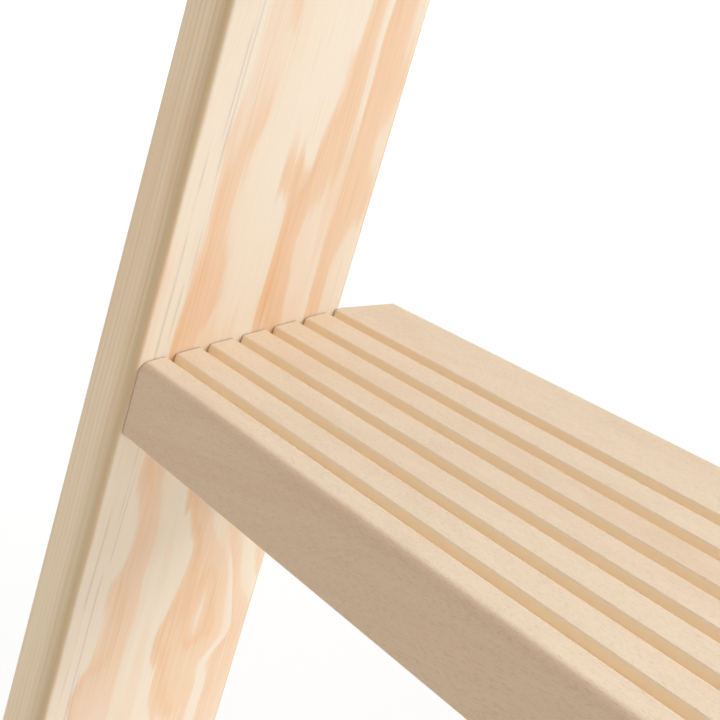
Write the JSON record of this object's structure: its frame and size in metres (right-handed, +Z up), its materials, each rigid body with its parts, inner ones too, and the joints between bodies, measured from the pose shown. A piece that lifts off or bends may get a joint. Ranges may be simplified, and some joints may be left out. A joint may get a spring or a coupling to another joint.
{
  "type": "wooden stepladder",
  "caption": "Double-sided folding wooden stepladder with softwood stiles, grooved hardwood treads housed in them, steel top hinges, folding side spreaders and rubber shoes.",
  "frame": {"origin": "middle of the ladder's footprint, on the floor, with the ladder open", "axes": "+X along the treads, -Y towards the front flight's climbing side, +Z up"},
  "size_m": [0.4104, 1.1538, 1.3781],
  "materials": {
    "pine": "planed softwood with a thin clear coat",
    "beech": "planed hardwood, bare",
    "zinc_steel": "zinc-plated, satin",
    "rubber": "moulded, matt"
  },
  "bodies": {
    "front_flight": {"front_left_hinge_leaf": "zinc_steel", "front_left_shoe": "rubber", "front_left_stile": "pine", "front_pivot_bolts": "zinc_steel", "front_pivot_nuts": "zinc_steel", "front_right_hinge_leaf": "zinc_steel", "front_right_shoe": "rubber", "front_right_stile": "pine", "front_tread_1": "beech", "front_tread_2": "beech", "front_tread_3": "beech", "front_tread_4": "beech", "front_tread_5": "beech", "hinge_nuts": "zinc_steel", "hinge_pins": "zinc_steel"},
    "rear_flight": {"rear_left_hinge_leaf": "zinc_steel", "rear_left_shoe": "rubber", "rear_left_stile": "pine", "rear_pivot_bolts": "zinc_steel", "rear_pivot_nuts": "zinc_steel", "rear_right_hinge_leaf": "zinc_steel", "rear_right_shoe": "rubber", "rear_right_stile": "pine", "rear_tread_1": "beech", "rear_tread_2": "beech", "rear_tread_3": "beech", "rear_tread_4": "beech", "rear_tread_5": "beech"},
    "left_front_arm": {"left_front_arm": "zinc_steel"},
    "left_rear_arm": {"left_rear_arm": "zinc_steel"},
    "right_front_arm": {"right_front_arm": "zinc_steel"},
    "right_rear_arm": {"right_rear_arm": "zinc_steel"}
  },
  "joints": [
    {"name": "fold", "type": "hinge", "parent": "front_flight", "child": "rear_flight", "pos_m": [0, 0, 1.325], "axis": [-1, 0, 0], "range_deg": [0, 40]},
    {"name": "left_front_arm_turn", "type": "hinge", "parent": "front_flight", "child": "left_front_arm", "pos_m": [0, -0.25848, 0.77543], "axis": [1, 0, 0], "range_deg": [0, 57.9]},
    {"name": "left_rear_arm_turn", "type": "hinge", "parent": "rear_flight", "child": "left_rear_arm", "pos_m": [0, 0.25848, 0.77543], "axis": [-1, 0, 0], "range_deg": [0, 57.9]},
    {"name": "right_front_arm_turn", "type": "hinge", "parent": "front_flight", "child": "right_front_arm", "pos_m": [0, -0.25848, 0.77543], "axis": [1, 0, 0], "range_deg": [0, 57.9]},
    {"name": "right_rear_arm_turn", "type": "hinge", "parent": "rear_flight", "child": "right_rear_arm", "pos_m": [0, 0.25848, 0.77543], "axis": [-1, 0, 0], "range_deg": [0, 57.9]}
  ],
  "couplings": [
    {"joint": "left_front_arm_turn", "follows": "fold", "ratio": 1.4433},
    {"joint": "left_rear_arm_turn", "follows": "fold", "ratio": 1.4433},
    {"joint": "right_front_arm_turn", "follows": "fold", "ratio": 1.4433},
    {"joint": "right_rear_arm_turn", "follows": "fold", "ratio": 1.4433}
  ]
}
